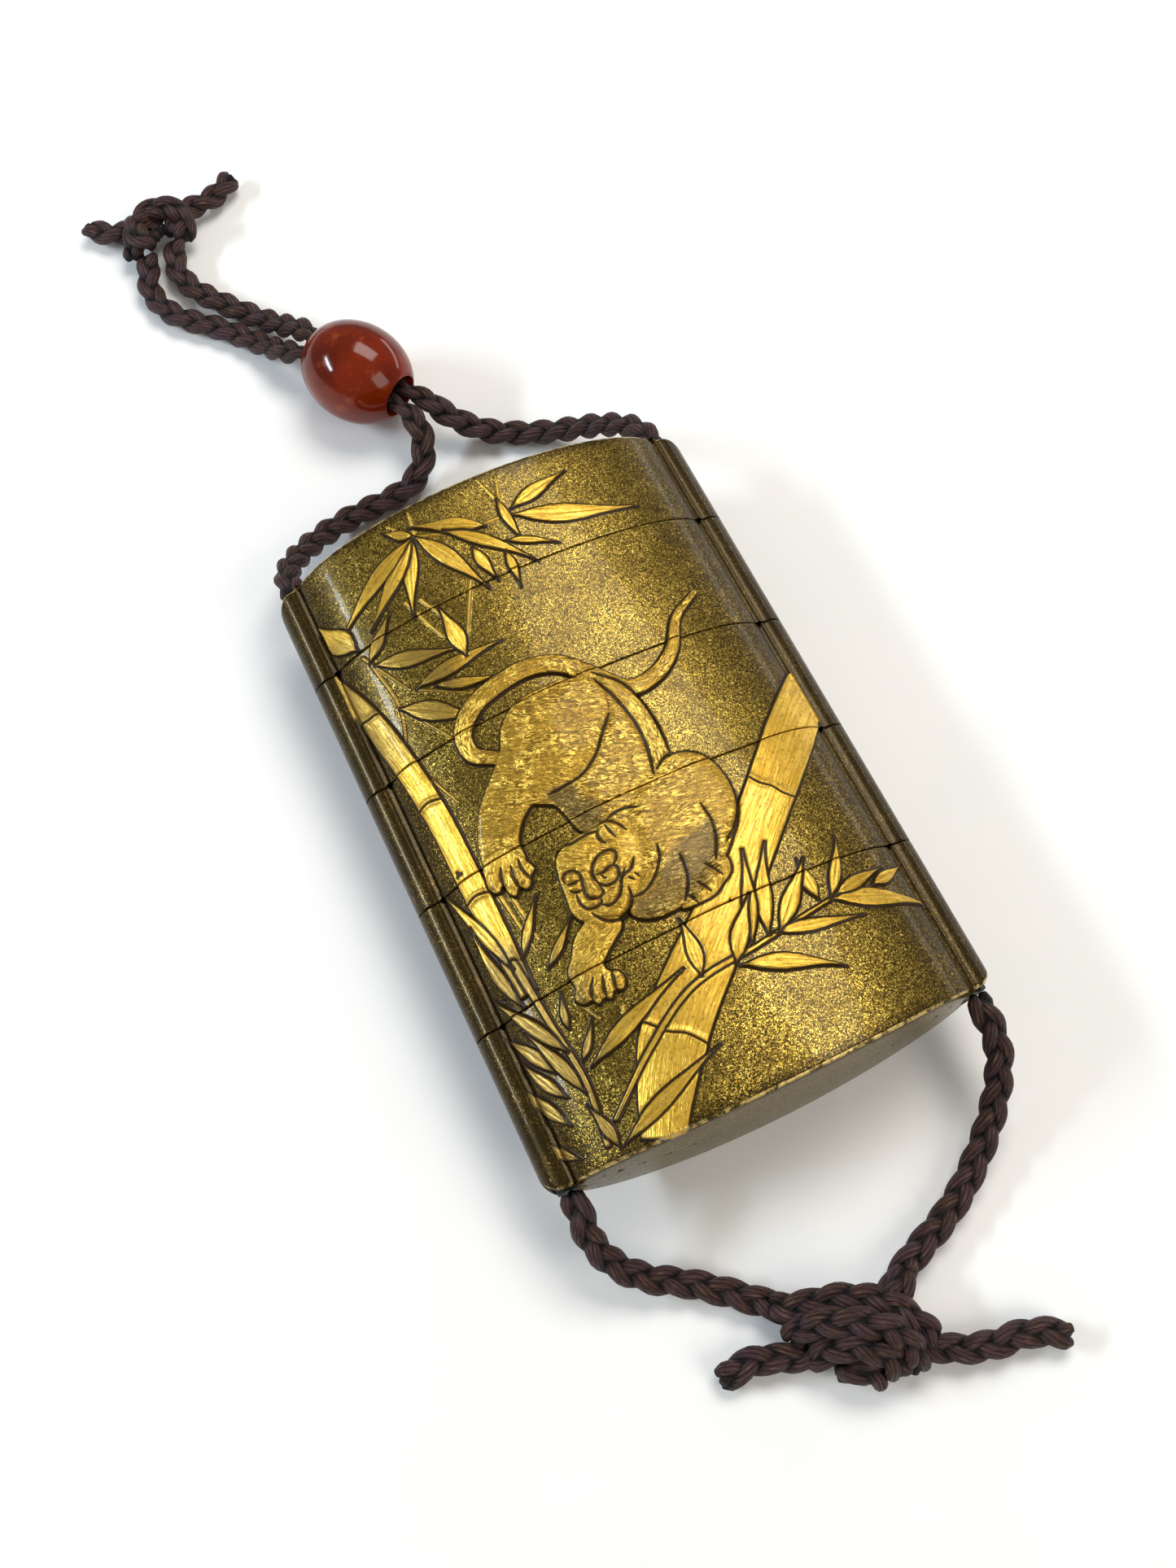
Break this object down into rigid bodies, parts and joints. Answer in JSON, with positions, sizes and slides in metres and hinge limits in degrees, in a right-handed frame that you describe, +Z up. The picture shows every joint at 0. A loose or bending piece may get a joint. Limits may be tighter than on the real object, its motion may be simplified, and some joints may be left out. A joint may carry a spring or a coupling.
{
  "type": "inro case",
  "caption": "Lens-shaped lacquered case of stacking boxes with a lift-off lid, raised gold tiger and bamboo, cord channels, stone sliding bead and knotted cord",
  "frame": {"origin": "on the surface the case lies on, under the middle of the case's length and width", "axes": "+X across the case to its right, +Y along it towards the lid, +Z up out of the decorated face"},
  "size_m": [0.0612, 0.2048, 0.0224],
  "materials": {
    "gold_lacquer": "sprinkled gold flakes under clear lacquer, raised work in burnished gold",
    "carnelian": "polished",
    "silk_cord": "braided"
  },
  "bodies": {
    "root": {"bottom_case": "gold_lacquer", "lower_case": "gold_lacquer", "middle_case": "gold_lacquer", "upper_case": "gold_lacquer", "lid": "gold_lacquer", "runner_cord_left": "silk_cord", "runner_cord_right": "silk_cord", "top_cord_left": "silk_cord", "top_cord_right": "silk_cord", "ojime_bead": "carnelian", "top_knot": "silk_cord", "bottom_cord_left": "silk_cord", "bottom_cord_right": "silk_cord", "bottom_knot": "silk_cord"}
  },
  "joints": []
}
